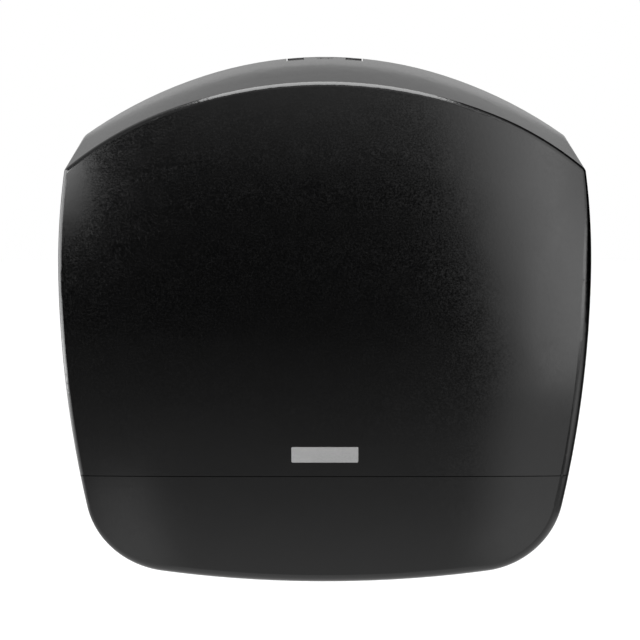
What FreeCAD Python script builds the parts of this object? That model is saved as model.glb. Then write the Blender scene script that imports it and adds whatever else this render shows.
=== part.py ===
import FreeCAD, Part
import math
import os

# Wall-mounted dispenser for one large roll of toilet paper, in millimetres.
# X runs to the right, the front faces -Y, the wall is the plane Y = 0 and +Z is up.
# The origin is the roll axis where it meets the wall.

V = FreeCAD.Vector
X_AXIS = V(1, 0, 0)
Y_AXIS = V(0, 1, 0)
Z_AXIS = V(0, 0, 1)
BIG = 1000.0

# Outline of the front, a closed chain of arcs measured from the roll axis
depth = 133.0
top_z = 143.7
bottom_z = -180.9
widest_z = 20.0
half_width = 167.3
upper_side_r = 446.0
lower_side_r = 765.0
bottom_corner_r = 56.0
bottom_arc_r = 760.0
draft_deg = 1.1
overrun = 4.0

# Arcs of the top, which change evenly from the front to the wall
top_arc_front_r = 283.5
top_arc_rear_r = 261.5
top_span_front = 105.0
top_span_rear = 80.0
top_rear_rise = 0.65
shoulder_arc_front_r = 205.0
shoulder_arc_rear_r = 300.0
shoulder_corner_front_r = 4.0
shoulder_corner_rear_r = 9.0

# Crown of the front face: how far it falls back at the stated reach from its middle
crown_reach = 160.0
crown_across = 2.2
crown_down = 4.5
crown_mid_z = -18.0
crown_margin = 1.3

# Cover mouldings
cover_wall = 2.6
wall_gap = 1.2
front_edge_r = 2.7
bottom_edge_r = 6.5
inner_edge_r = 1.0
least_edge_r = 0.4
seam_z = -107.8
seam_gap = 0.5
lip_height = 7.0
lip_wall = 1.8
lip_clear = 0.25
lip_foot = 4.0

# Posts and tabs that join the lower moulding to the upper one
join_front_x = 78.0
join_side_y = -62.0
join_post_r = 3.8
join_post_height = 13.0
join_inset = 5.2
tab_size = 11.0
tab_thick = 2.5
fit_gap = 0.3
thread_share = 0.6
root_sink = 1.0

# Plastic-thread screws used throughout
screw_r = 1.5
screw_head_r = 2.9
screw_head_h = 1.9
screw_clear = 0.15
screw_pilot_gap = 0.05
screw_slot = 0.8
screw_slot_depth = 0.9
screw_tip_r = 0.45
screw_head_edge_r = 0.85
screw_slot_reach = 1.75
hole_overrun = 0.5

# Blank badge on the front
badge_width = 42.6
badge_height = 10.2
badge_thick = 1.2
badge_corner_r = 0.8
badge_proud = 0.25
badge_mid_z = -93.2
badge_gap = 0.1
badge_peg_r = 1.6
badge_peg_x = 14.0
badge_peg_length = 3.2

# Paper exit in the bottom and its two tear bars
exit_half_width = 72.0
exit_front_margin = 12.0
exit_rear_margin = 10.0
exit_corner_r = 6.0
tear_thick = 1.2
tear_foot = 11.0
tooth_pitch = 4.0
tooth_depth = 1.6
tooth_inset = 0.4
tear_screw_inset = 14.0
tear_screw_x = 6.0

# Cover hinge
hinge_y = -22.0
hinge_rise = 14.5
hinge_pin_r = 2.5
hinge_run_gap = 0.06
hinge_eye_r = 7.0
lug_eye_r = 6.4
lug_x = 97.4
lug_width = 10.4
ear_gap = 0.5
ear_width = 6.6
pin_grip = 8.4
pin_head_r = 4.0
pin_head_h = 1.5
chin_heel = 2.0
ear_reach = 11.0
ear_brace = 2.0
pin_bore_gap = 0.02

# Back plate
plate_thick = 3.0
plate_clear = 1.2
rim_depth = 12.0
rim_wall = 2.0
plate_lift = 24.0
sill_thick = 4.6
sill_half_width = 99.0
sill_inset = 2.0
rib_depth = 8.0
rib_wall = 2.0
rib_angles = (15.0, 60.0, 90.0, 120.0, 165.0, 195.0, 270.0, 345.0)
rib_end_r = 110.0
plate_arm_up = 14.0
plate_arm_down = 3.2
latch_tab_drop = 15.0

# Wall screw slots
wall_slot_dx = 160.0
wall_slot_dz = 130.0
wall_slot_r = 2.75
wall_slot_length = 11.0
slot_pad = 5.0
slot_pad_height = 2.0

# Main roll spindle and hub
dome_r = 45.0
dome_wall = 2.5
dome_depth = 12.0
flange_r = 24.0
flange_thick = 4.0
boss_floor = 4.0
spindle_r = 8.0
spindle_bore_r = 5.0
spindle_screw_pcr = 19.6
spindle_screw_count = 4
hub_run_gap = 0.08
hub_tube_wall = 2.2
hub_front_margin = 34.6
hub_end_play = 0.6
hub_core_r = 28.0
hub_core_taper = 1.0
hub_core_wall = 2.0
hub_spokes = 6
hub_spoke_wall = 1.8
hub_flange_r = 50.0
hub_flange_thick = 2.6
hub_grips = 12
hub_grip_r = 1.1
cap_r = 15.0
cap_thick = 3.0
cap_plug_length = 12.0
cap_screw_length = 24.0
cap_edge_r = 1.2
spindle_core_length = 45.0
hub_grip_length = 68.0
hub_edge_r = 1.0
brake_spring_thick = 0.6
brake_spring_rise = 1.4
brake_spring_outer_r = 16.0
brake_ring_thick = 1.2
brake_ring_outer_r = 18.0
brake_gap = 0.3

# Holder for the end of a used roll
stub_inset = 55.3
stub_rise = 59.9
stub_boss_r = 20.0
stub_boss_depth = 10.0
stub_flange_r = 14.0
stub_flange_thick = 3.5
stub_spindle_r = 5.0
stub_hub_length = 58.4
stub_core_r = 20.0
stub_core_taper = 0.8
stub_core_wall = 1.8
stub_spokes = 4
stub_flare_r = 26.5
stub_flare_thick = 2.0
stub_edge_r = 0.8
stub_screw_pcr = 9.6
stub_cap_r = 9.0
stub_cap_thick = 2.4
stub_cap_edge_r = 0.9
stub_cap_screw_length = 14.0

# Release latch at the top, by the wall; drops are measured from the top of the front
notch_half_width = 25.5
notch_depth = 14.8
notch_gap = 0.6
housing_reach = 18.5
housing_drop = 29.0
housing_wall = 2.5
housing_clear = 0.9
housing_low = 0.9
housing_screw_x = 19.0
housing_screw_rise = 8.0
shoulder_drop = 4.2
button_half_width = 14.0
button_rear_gap = 0.9
button_gap = 0.4
button_top_thick = 2.6
button_low = 0.15
button_travel = 2.5
button_flange = 2.2
button_leg_half_width = 4.0
button_foot_gap = 0.3
insert_half_width = 5.0
insert_depth = 4.6
insert_thick = 1.4
insert_slit = 1.0
spring_x = 11.0
spring_r = 2.4
spring_wire_r = 0.3
spring_turns = 7
tongue_half_width = 6.5
tongue_thick = 0.8
tongue_drop = 9.2
tongue_length = 25.9
tongue_foot_length = 14.8
tongue_screw_dx = 3.2
tongue_screw_drop = 8.9
barb_length = 3.2
barb_over = 1.4
strike_thick = 1.6
strike_gap = 1.0
strike_half_width = 17.0
strike_rear_gap = 2.5
strike_length = 21.0
strike_corner_r = 2.0
strike_boss_height = 7.8
strike_slot_side = 1.5
strike_slot_end = 0.5
strike_screw_x = 12.0
strike_screw_margin = 6.5

# Guide behind the paper exit
guide_half_width = 84.0
guide_bead_r = 6.2
guide_bead_wall = 2.0
guide_foot_thick = 2.2
guide_screw_xs = (-60.0, 0.0, 60.0)
guide_screw_rise = 9.5

# Places that follow from the sizes above
hinge_z = bottom_z + hinge_rise
ear_x0 = lug_x + ear_gap
ear_x1 = ear_x0 + ear_width
exit_front_y = exit_front_margin - depth
exit_rear_y = hinge_y - exit_rear_margin
brake_ring_rear_y = -dome_depth - flange_thick - brake_spring_rise - brake_spring_thick - brake_gap
hub_rear_y = brake_ring_rear_y - brake_ring_thick
hub_front_y = hub_front_margin - depth
spindle_front_y = hub_front_y - hub_end_play
stub_x = stub_inset - half_width
stub_z = bottom_z + stub_rise
stub_hub_rear_y = -stub_boss_depth - stub_flange_thick - screw_head_h - hub_end_play
stub_front_y = stub_hub_rear_y - stub_hub_length - hub_end_play
housing_back_y = -plate_thick
housing_front_y = housing_back_y - housing_reach
housing_half_width = notch_half_width - notch_gap
housing_floor_z = top_z - housing_drop
shoulder_low_z = top_z - shoulder_drop
button_front_y = notch_gap - notch_depth
button_rear_y = -plate_thick - button_rear_gap
button_low_z = shoulder_low_z - button_gap - button_flange
spring_y = housing_back_y - housing_wall - spring_r - 2 * screw_head_h
tongue_root_y = housing_back_y - housing_wall
tongue_top_z = top_z - tongue_drop
tongue_front_y = tongue_root_y - tongue_length
barb_back_y = tongue_front_y + barb_length
strike_low_z = tongue_top_z + strike_gap
strike_high_z = strike_low_z + strike_thick
barb_top_z = strike_high_z + barb_over
strike_rear_y = housing_front_y - strike_rear_gap
strike_front_y = strike_rear_y - strike_length
strike_screw_y = strike_front_y + strike_screw_margin
lip_inset = cover_wall + lip_clear + lip_wall
tab_top_z = seam_z + lip_height
tab_low_z = tab_top_z - tab_thick
badge_back = badge_thick - badge_proud
spring_top_z = shoulder_low_z + button_top_thick / 2
guide_screw_z = hinge_z + guide_screw_rise
guide_seat_y = -sill_thick - guide_foot_thick
stub_seat_y = -stub_boss_depth
main_screw_seat_y = -dome_depth - flange_thick
stub_screw_seat_y = stub_seat_y - stub_flange_thick

# Screw lengths, each short of the outer face of what it bites into
join_screw_length = tab_thick + thread_share * join_post_height
strike_screw_length = top_z - cover_wall - strike_low_z
tear_screw_length = 2 * tear_thick + cover_wall - 2 * fit_gap
guide_screw_length = guide_foot_thick + sill_thick - 4 * fit_gap
spindle_screw_length = flange_thick + dome_depth - boss_floor
stub_screw_length = stub_flange_thick + stub_boss_depth - boss_floor
housing_screw_length = housing_wall + plate_thick - fit_gap
tongue_screw_length = tongue_thick + housing_wall - fit_gap


def face_y(inset):
    """Height of the front face along Y at its middle, moved inwards by inset."""
    return inset - depth


def crowned_face(inset):
    """Polynomial front face: quartic across, parabolic from top to bottom."""
    reach = crown_margin * half_width
    fall_x = crown_across * (reach / crown_reach) ** 4
    fall_z = crown_down * (reach / crown_reach) ** 2
    surface = Part.BezierSurface()
    surface.increase(4, 2)
    for i in range(5):
        for j in range(3):
            x = reach * (i / 2.0 - 1.0)
            z = crown_mid_z + reach * (j - 1.0)
            y = face_y(inset) + fall_x * (-1) ** i + fall_z * (-1) ** j
            surface.setPole(i + 1, j + 1, V(x, y, z))
    return surface.toShape()


def face_fall(x, z):
    """How far the crowned face lies behind its middle at a place."""
    across = crown_across * (x / crown_reach) ** 4
    down = crown_down * ((z - crown_mid_z) / crown_reach) ** 2
    return across + down


def rounding(centre_a, radius_a, centre_b, radius_b, radius):
    """Centre of the arc that rounds the corner of two arcs from within."""
    reach_a = radius_a - radius
    reach_b = radius_b - radius
    apart = centre_b.sub(centre_a)
    span = apart.Length
    along = (reach_a ** 2 - reach_b ** 2 + span ** 2) / (2.0 * span)
    aside = math.sqrt(reach_a ** 2 - along ** 2)
    unit = V(apart).normalize()
    side = V(unit.z, 0, -unit.x)
    return centre_a + unit * along + side * aside


def on_arc(centre, radius, towards):
    """Point of a circle in the XZ plane on the ray towards another point."""
    ray = towards.sub(centre)
    ray.y = 0
    return centre + ray.normalize() * radius


def arc_edge(centre, radius, start, end):
    middle = on_arc(centre, radius, (start + end) * 0.5)
    return Part.Arc(start, middle, end).toShape()


def mirrored(point):
    return V(-point.x, point.y, point.z)


def growth(y):
    """Draft: how much wider the outline is at y than at the front."""
    return math.tan(math.radians(draft_deg)) * (depth + y)


def at_depth(front, rear, y):
    """Value at y of a size that changes evenly from the front to the wall."""
    return front + (rear - front) * (depth + y) / depth


def outline(y, inset, lift=0.0):
    """Body outline as a wire in the plane of y, moved inwards by inset."""
    grow = growth(y) - inset
    top_arc_r = at_depth(top_arc_front_r, top_arc_rear_r, y)
    shoulder_arc_r = at_depth(shoulder_arc_front_r, shoulder_arc_rear_r, y)
    corner_r = at_depth(shoulder_corner_front_r, shoulder_corner_rear_r, y)
    corner_r = max(corner_r - inset, inner_edge_r)
    top_c = V(0, 0, at_depth(top_z, top_z + top_rear_rise, y) - top_arc_r)
    lean = math.asin(at_depth(top_span_front, top_span_rear, y) / top_arc_r)
    shoulder_c = top_c + V(math.sin(lean), 0, math.cos(lean)) * (top_arc_r - shoulder_arc_r)
    upper_c = V(half_width - upper_side_r, 0, widest_z)
    lower_c = V(half_width - lower_side_r, 0, widest_z)
    bottom_c = V(0, 0, bottom_z + bottom_arc_r + lift)
    top_r = top_arc_r + grow
    shoulder_r = shoulder_arc_r + grow
    upper_r = upper_side_r + grow
    lower_r = lower_side_r + grow
    bottom_r = bottom_arc_r + grow
    low_corner_r = bottom_corner_r + grow
    corner_c = rounding(shoulder_c, shoulder_r, upper_c, upper_r, corner_r)
    low_corner_c = rounding(lower_c, lower_r, bottom_c, bottom_r, low_corner_r)
    hand_over = top_c + V(math.sin(lean), 0, math.cos(lean)) * top_r
    corner_top = on_arc(shoulder_c, shoulder_r, corner_c)
    corner_side = on_arc(upper_c, upper_r, corner_c)
    widest = V(half_width + grow, 0, widest_z)
    low_side = on_arc(lower_c, lower_r, low_corner_c)
    low_bottom = on_arc(bottom_c, bottom_r, low_corner_c)
    chain = [
        (shoulder_c, shoulder_r, hand_over, corner_top),
        (corner_c, corner_r, corner_top, corner_side),
        (upper_c, upper_r, corner_side, widest),
        (lower_c, lower_r, widest, low_side),
        (low_corner_c, low_corner_r, low_side, low_bottom),
    ]
    edges = [arc_edge(top_c, top_r, mirrored(hand_over), hand_over)]
    edges += [arc_edge(*link) for link in chain]
    edges.append(arc_edge(bottom_c, bottom_r, low_bottom, mirrored(low_bottom)))
    for centre, radius, start, end in reversed(chain):
        edges.append(arc_edge(mirrored(centre), radius, mirrored(end), mirrored(start)))
    wire = Part.Wire(edges)
    wire.translate(V(0, y, 0))
    return wire


def full_prism(inset, lift=0.0):
    """Drafted prism of the outline that runs past the front and the wall."""
    wires = [outline(y, inset, lift) for y in (-depth - overrun, overrun)]
    return Part.makeLoft(wires, True, True)


def front_edges(shape):
    """Edges where the crowned face meets the sides."""
    found = []
    for number, edge in enumerate(shape.Edges, 1):
        if edge.BoundBox.YMax < -0.5 * depth:
            found.append((number, edge))
    return found


def edge_radius(edge_z, top_r, low_r):
    """Edge rounding, which swells along the lower sides towards the bottom."""
    low_corner_z = bottom_z + bottom_corner_r
    share = (widest_z - edge_z) / (widest_z - low_corner_z)
    share = min(max(share, 0.0), 1.0)
    return top_r + share * (low_r - top_r)


def rounded_front(shape, top_r, low_r):
    """Round the front edge, with the larger radius along the bottom."""
    document = FreeCAD.newDocument("rounding")
    base = document.addObject("Part::Feature", "base")
    base.Shape = shape
    fillet = document.addObject("Part::Fillet", "fillet")
    fillet.Base = base
    listing = []
    for number, edge in front_edges(shape):
        first = edge.Vertexes[0].Point.z
        last = edge.Vertexes[-1].Point.z
        listing.append((number, edge_radius(first, top_r, low_r), edge_radius(last, top_r, low_r)))
    fillet.Edges = listing
    document.recompute()
    result = fillet.Shape.copy()
    FreeCAD.closeDocument(document.Name)
    return result


def body(inset):
    """The closed body, moved inwards by inset on the front and all round."""
    prism = full_prism(inset)
    behind = crowned_face(inset).extrude(V(0, 2.0 * depth, 0))
    block = prism.common(behind)
    top_r = max(front_edge_r - inset, least_edge_r)
    low_r = max(bottom_edge_r - inset, least_edge_r)
    return rounded_front(block, top_r, low_r)


def block(x0, x1, y0, y1, z0, z1):
    """Box between two opposite corners."""
    return Part.makeBox(x1 - x0, y1 - y0, z1 - z0, V(x0, y0, z0))


def rod(radius, start, direction, length):
    return Part.makeCylinder(radius, length, start, direction)


def bar_x(points, x0, x1):
    """Straight bar along X with a polygon of (y, z) points as its section."""
    corners = [V(x0, y, z) for y, z in points]
    wire = Part.makePolygon(corners + corners[:1])
    return Part.Face(wire).extrude(V(x1 - x0, 0, 0))


def turned_y(points, x, z):
    """Ring turned about a line along Y, from a polygon of (radius, y) points."""
    corners = [V(x + r, y, z) for r, y in points]
    wire = Part.makePolygon(corners + corners[:1])
    return Part.Face(wire).revolve(V(x, 0, z), Y_AXIS, 360)


def joined(shapes):
    """One clean solid from overlapping shapes."""
    return shapes[0].multiFuse(shapes[1:]).removeSplitter()


def both_sides(shape):
    """A shape and its mirror image across the middle plane."""
    return [shape, shape.mirror(V(0, 0, 0), X_AXIS)]


def grouped(shapes):
    return Part.makeCompound(shapes)


def screw(seat, direction, length):
    """Pan-head screw with a cross slot, its head resting on seat."""
    shank = Part.makeCylinder(screw_r, length - screw_r, V(0, 0, screw_r - length))
    tip = Part.makeCone(screw_tip_r, screw_r, screw_r, V(0, 0, -length))
    head = Part.makeCylinder(screw_head_r, screw_head_h)
    head = head.makeFillet(screw_head_edge_r, [head.Edges[0]])
    reach = screw_slot_reach
    half = screw_slot / 2
    slot_floor = screw_head_h - screw_slot_depth
    slot_a = block(-reach, reach, -half, half, slot_floor, screw_head_h)
    slot_b = block(-half, half, -reach, reach, slot_floor, screw_head_h)
    whole = shank.fuse([tip, head]).cut([slot_a, slot_b])
    turn = FreeCAD.Rotation(V(0, 0, -1), direction)
    whole.Placement = FreeCAD.Placement(seat, turn)
    return whole


def pilot(seat, direction, length):
    """Hole that a screw of the stated length cuts its thread in."""
    return rod(screw_r + screw_pilot_gap, seat, direction, length + screw_clear)


def clear_hole(seat, direction, length):
    """Hole that a screw passes through freely."""
    start = seat - direction * hole_overrun
    return rod(screw_r + screw_clear, start, direction, length + 2 * hole_overrun)


def below(z):
    return block(-BIG, BIG, -BIG, BIG, -BIG, z)


def above(z):
    return block(-BIG, BIG, -BIG, BIG, z, BIG)


def behind(y):
    return block(-BIG, BIG, y, BIG, -BIG, BIG)


def side_x(y, z, inset):
    """Half width of the lower side at a place, moved inwards by inset."""
    radius = lower_side_r + growth(y) - inset
    return half_width - lower_side_r + math.sqrt(radius ** 2 - (z - widest_z) ** 2)


def bottom_at(x, y, inset):
    """Height of the bottom at a place, moved inwards by inset."""
    radius = bottom_arc_r + growth(y) - inset
    return bottom_z + bottom_arc_r - math.sqrt(radius ** 2 - x ** 2)


def top_at(x, y, inset):
    """Height of the top at a place, moved inwards by inset."""
    arc_r = at_depth(top_arc_front_r, top_arc_rear_r, y)
    middle = at_depth(top_z, top_z + top_rear_rise, y) - arc_r
    return middle + math.sqrt((arc_r + growth(y) - inset) ** 2 - x ** 2)


OUTER = body(0.0)
INNER = body(cover_wall)
WITHIN = body(cover_wall / 4)
SHELL = OUTER.cut(INNER).cut(behind(-wall_gap))


def join_places():
    """Centres of the screwed joints between the two cover mouldings."""
    fall = face_fall(join_front_x, seam_z)
    front_y = face_y(lip_inset) + fall + join_inset
    side = side_x(join_side_y, tab_top_z, lip_inset) - join_inset
    front = [V(sign * join_front_x, front_y, 0) for sign in (-1, 1)]
    sides = [V(sign * side, join_side_y, 0) for sign in (-1, 1)]
    return front, sides


def join_posts():
    """Posts on the upper moulding, each tied to the nearest wall by a web."""
    posts = []
    low_z = tab_top_z
    high_z = low_z + join_post_height
    web = lip_wall / 2
    reach = lip_inset + join_inset
    front, sides = join_places()
    for place in front:
        posts.append(rod(join_post_r, V(place.x, place.y, low_z), Z_AXIS, join_post_height))
        strip = block(place.x - web, place.x + web, place.y - reach, place.y, low_z, high_z)
        posts.append(strip.common(WITHIN))
    for place in sides:
        posts.append(rod(join_post_r, V(place.x, place.y, low_z), Z_AXIS, join_post_height))
        far = place.x + math.copysign(reach, place.x)
        x0, x1 = sorted((place.x, far))
        strip = block(x0, x1, place.y - web, place.y + web, low_z, high_z)
        posts.append(strip.common(WITHIN))
    return posts


def join_tabs():
    """Tabs on the lip of the lower moulding, under the posts."""
    tabs = []
    half = tab_size / 2
    reach = join_inset + lip_wall
    front, sides = join_places()
    for place in front:
        y1 = place.y + half
        tabs.append(block(place.x - half, place.x + half, place.y - reach, y1, tab_low_z, tab_top_z))
    for place in sides:
        near = place.x - math.copysign(half, place.x)
        far = place.x + math.copysign(reach, place.x)
        x0, x1 = sorted((near, far))
        tabs.append(block(x0, x1, place.y - half, place.y + half, tab_low_z, tab_top_z))
    limit = body(cover_wall + lip_clear + lip_wall / 2)
    return [tab.common(limit) for tab in tabs]


def join_screws():
    front, sides = join_places()
    seats = [V(place.x, place.y, tab_low_z) for place in front + sides]
    return [screw(seat, Z_AXIS, join_screw_length) for seat in seats]


def notch():
    """Slot in the rear edge of the top for the release latch."""
    low_z = top_at(notch_half_width, -notch_depth, cover_wall) - cover_wall
    return block(-notch_half_width, notch_half_width, -notch_depth, BIG, low_z, BIG)


def strike_bosses():
    bosses = []
    for sign in (-1, 1):
        foot = V(sign * strike_screw_x, strike_screw_y, strike_high_z)
        bosses.append(rod(join_post_r, foot, Z_AXIS, strike_boss_height).common(WITHIN))
    return bosses


def strike_seats():
    return [V(sign * strike_screw_x, strike_screw_y, strike_low_z) for sign in (-1, 1)]


def badge_slab(front, back, grow):
    """Slab of the crowned front between two depths, as large as the badge."""
    slab = crowned_face(front).extrude(V(0, back - front, 0))
    half = badge_width / 2 + grow
    z0 = badge_mid_z - badge_height / 2 - grow
    z1 = badge_mid_z + badge_height / 2 + grow
    window = block(-half, half, -2 * depth, 0, z0, z1)
    upright = [edge for edge in window.Edges if abs(edge.Vertexes[0].Y - edge.Vertexes[-1].Y) > depth]
    return slab.common(window.makeFillet(badge_corner_r, upright))


def badge_pegs(radius, length):
    pegs = []
    for sign in (-1, 1):
        foot = V(sign * badge_peg_x, face_y(badge_back) - badge_proud, badge_mid_z)
        pegs.append(rod(radius, foot, Y_AXIS, length + badge_proud))
    return pegs


def name_plate():
    """Blank badge: a thin plate that follows the front, with two pegs behind."""
    slab = badge_slab(-badge_proud, badge_back, 0.0)
    return joined([slab] + badge_pegs(badge_peg_r, badge_peg_length))


def front_cover():
    """Upper cover moulding: front, top and sides down to the seam."""
    shell = SHELL.cut(below(seam_z + seam_gap / 2))
    shell = shell.cut(notch())
    cover = joined([shell] + join_posts() + strike_bosses())
    front, sides = join_places()
    cuts = [pilot(V(p.x, p.y, tab_low_z), Z_AXIS, join_screw_length) for p in front + sides]
    cuts += [pilot(seat, Z_AXIS, strike_screw_length) for seat in strike_seats()]
    cuts.append(badge_slab(-badge_thick, badge_back, badge_gap))
    cuts += badge_pegs(badge_peg_r + badge_gap, badge_peg_length)
    return cover.cut(cuts)


def seam_lip():
    """Lip of the lower moulding that stands inside the upper one."""
    inside = body(lip_inset)
    tall = body(cover_wall + lip_clear).cut(inside)
    rear_y = -rim_depth - plate_clear
    tall = tall.common(block(-BIG, BIG, -BIG, rear_y, seam_z - lip_foot, tab_top_z - fit_gap))
    foot = WITHIN.cut(inside)
    foot = foot.common(block(-BIG, BIG, -BIG, rear_y, seam_z - lip_foot, seam_z - seam_gap / 2))
    return [tall, foot]


def exit_hole():
    """Paper exit through the bottom, with rounded corners."""
    low_z = bottom_z - 2 * overrun
    high_z = bottom_z + 2 * overrun
    window = block(-exit_half_width, exit_half_width, exit_front_y, exit_rear_y, low_z, high_z)
    upright = [e for e in window.Edges if abs(e.Vertexes[0].Z - e.Vertexes[-1].Z) > 1.0]
    return window.makeFillet(exit_corner_r, upright)


tear_foot_z = bottom_at(exit_half_width + tear_foot, exit_front_y, cover_wall) + tear_thick
tear_y0 = exit_front_y + exit_corner_r + fit_gap
tear_y1 = exit_rear_y - exit_corner_r - fit_gap


def tear_seats():
    """Places of the screws of the right-hand tear bar."""
    x = exit_half_width + tear_screw_x
    places = (tear_y0 + tear_screw_inset, tear_y1 - tear_screw_inset)
    return [V(x, y, tear_foot_z + tear_thick) for y in places]


def tear_pads():
    """Raised pads beside the paper exit that the tear bars are screwed to."""
    pads = []
    for seat in tear_seats():
        x0 = exit_half_width + tear_thick
        x1 = exit_half_width + tear_foot
        half = tear_foot / 2
        pad = block(x0, x1, seat.y - half, seat.y + half, bottom_z - overrun, tear_foot_z)
        pads += both_sides(pad.common(WITHIN))
    return pads


def tear_bar():
    """Right-hand tear bar: a folded strip with a row of teeth along its lower edge."""
    x0 = exit_half_width - tear_thick - fit_gap
    x1 = exit_half_width - fit_gap
    tip_z = bottom_at(exit_half_width, exit_front_y, 0.0) + tooth_inset
    root_z = tip_z + tooth_depth
    count = int((tear_y1 - tear_y0) / tooth_pitch)
    pitch = (tear_y1 - tear_y0) / count
    top = tear_foot_z + tear_thick
    points = [(tear_y1, top), (tear_y0, top), (tear_y0, root_z)]
    for i in range(count):
        points.append((tear_y0 + (i + 0.5) * pitch, tip_z))
        points.append((tear_y0 + (i + 1.0) * pitch, root_z))
    blade = bar_x(points, x0, x1)
    foot = block(x0, exit_half_width + tear_foot, tear_y0, tear_y1, tear_foot_z, top)
    holes = [clear_hole(seat, V(0, 0, -1), tear_thick) for seat in tear_seats()]
    return joined([blade, foot]).cut(holes)


def tear_screws():
    screws = []
    for seat in tear_seats():
        for sign in (-1, 1):
            screws.append(screw(V(sign * seat.x, seat.y, seat.z), V(0, 0, -1), tear_screw_length))
    return screws


def hinge_rod(radius, x0, x1):
    return rod(radius, V(x0, hinge_y, hinge_z), X_AXIS, x1 - x0)


def chin_ears():
    """Hinge ears of the lower moulding, one each side of the back plate's lugs."""
    eye = hinge_rod(hinge_eye_r, ear_x0, ear_x1)
    y0 = hinge_y - ear_reach
    web = block(ear_x0, ear_x1, y0, hinge_y + chin_heel, bottom_z - overrun, hinge_z)
    brace = block(ear_x0, ear_x1, y0, hinge_y, hinge_z, hinge_z + ear_brace)
    return both_sides(joined([eye, web.common(WITHIN), brace]).cut(ear_bore()))


def ear_bore():
    return hinge_rod(hinge_pin_r + hinge_run_gap, ear_x0 - overrun, ear_x1 + overrun)


def chin_panel():
    """Lower cover moulding: chin, bottom with the paper exit, and the hinge ears."""
    shell = SHELL.cut(above(seam_z - seam_gap / 2))
    shell = shell.cut(block(-BIG, BIG, hinge_y + chin_heel, BIG, -BIG, hinge_z))
    shell = shell.cut(exit_hole())
    chin = joined([shell] + seam_lip() + join_tabs() + tear_pads() + chin_ears())
    front, sides = join_places()
    cuts = [clear_hole(V(p.x, p.y, tab_low_z), Z_AXIS, tab_thick) for p in front + sides]
    for seat in tear_seats():
        top = V(seat.x, seat.y, seat.z)
        cuts += both_sides(pilot(top, V(0, 0, -1), tear_screw_length))
    return chin.cut(cuts + both_sides(ear_bore()))


def strike_plate():
    """Slotted plate under the top of the cover that the latch tongue holds."""
    wide = strike_half_width
    plate = block(-wide, wide, strike_front_y, strike_rear_y, strike_low_z, strike_high_z)
    upright = [e for e in plate.Edges if abs(e.Vertexes[0].Z - e.Vertexes[-1].Z) > strike_thick / 2]
    plate = plate.makeFillet(strike_corner_r, upright)
    half = tongue_half_width + strike_slot_side
    slot_y0 = tongue_front_y - 2 * strike_slot_end
    slot = block(-half, half, slot_y0, barb_back_y + strike_slot_end, 0, BIG)
    holes = [clear_hole(seat, Z_AXIS, strike_thick) for seat in strike_seats()]
    return plate.cut([slot] + holes)


def strike_screws():
    return [screw(seat, Z_AXIS, strike_screw_length) for seat in strike_seats()]


def plate_prism(inset, front_y):
    """Outline of the back plate as a prism from front_y to the wall."""
    prism = full_prism(inset, plate_lift)
    return prism.common(block(-BIG, BIG, front_y, 0, -BIG, BIG))


def dome(x, z, radius, front_y, boss_places):
    """Hollow round seat for a spindle, with screw bosses inside."""
    outer = rod(radius, V(x, 0, z), -Y_AXIS, -front_y)
    hollow = rod(radius - dome_wall, V(x, root_sink, z), -Y_AXIS, root_sink - front_y - dome_wall)
    boss_length = -front_y - root_sink - dome_wall / 2
    bosses = [rod(join_post_r, V(p.x, -root_sink, p.z), -Y_AXIS, boss_length) for p in boss_places]
    return outer, hollow, bosses


def round_places(x, z, count, radius, turn_deg):
    places = []
    for i in range(count):
        angle = math.radians(turn_deg + 360.0 * i / count)
        places.append(V(x + radius * math.cos(angle), 0, z + radius * math.sin(angle)))
    return places


main_screw_places = round_places(0, 0, spindle_screw_count, spindle_screw_pcr, 45)
stub_screw_places = round_places(stub_x, stub_z, 2, stub_screw_pcr, 0)


def main_seats():
    return [V(p.x, main_screw_seat_y, p.z) for p in main_screw_places]


def stub_seats():
    return [V(p.x, stub_screw_seat_y, p.z) for p in stub_screw_places]


def guide_seats():
    return [V(x, guide_seat_y, guide_screw_z) for x in guide_screw_xs]


def wall_slot_places():
    half_x = wall_slot_dx / 2
    half_z = wall_slot_dz / 2
    return [V(x, 0, z) for x in (-half_x, half_x) for z in (-half_z, half_z)]


def rounded_slot(place, radius, length, y0, y1):
    """Slot along X with round ends."""
    half = length / 2 - radius
    middle = block(place.x - half, place.x + half, y0, y1, place.z - radius, place.z + radius)
    ends = [rod(radius, V(place.x + sign * half, y0, place.z), Y_AXIS, y1 - y0) for sign in (-1, 1)]
    return middle.fuse(ends).removeSplitter()


def plate_ribs():
    """Stiffening ribs that run out from the middle seat."""
    ribs = []
    for angle in rib_angles:
        half = rib_wall / 2
        rib = block(dome_r - root_sink, rib_end_r, -rib_depth, -plate_thick / 2, -half, half)
        rib.rotate(V(0, 0, 0), Y_AXIS, -angle)
        ribs.append(rib)
    return ribs


def hinge_lugs():
    """Lugs of the back plate that carry the hinge pins."""
    eye = hinge_rod(lug_eye_r, lug_x - lug_width, lug_x)
    low = hinge_z + plate_arm_down
    arm = block(lug_x - lug_width, lug_x, hinge_y, -sill_thick / 2, low, hinge_z + plate_arm_up)
    return both_sides(joined([eye, arm]))


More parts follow.
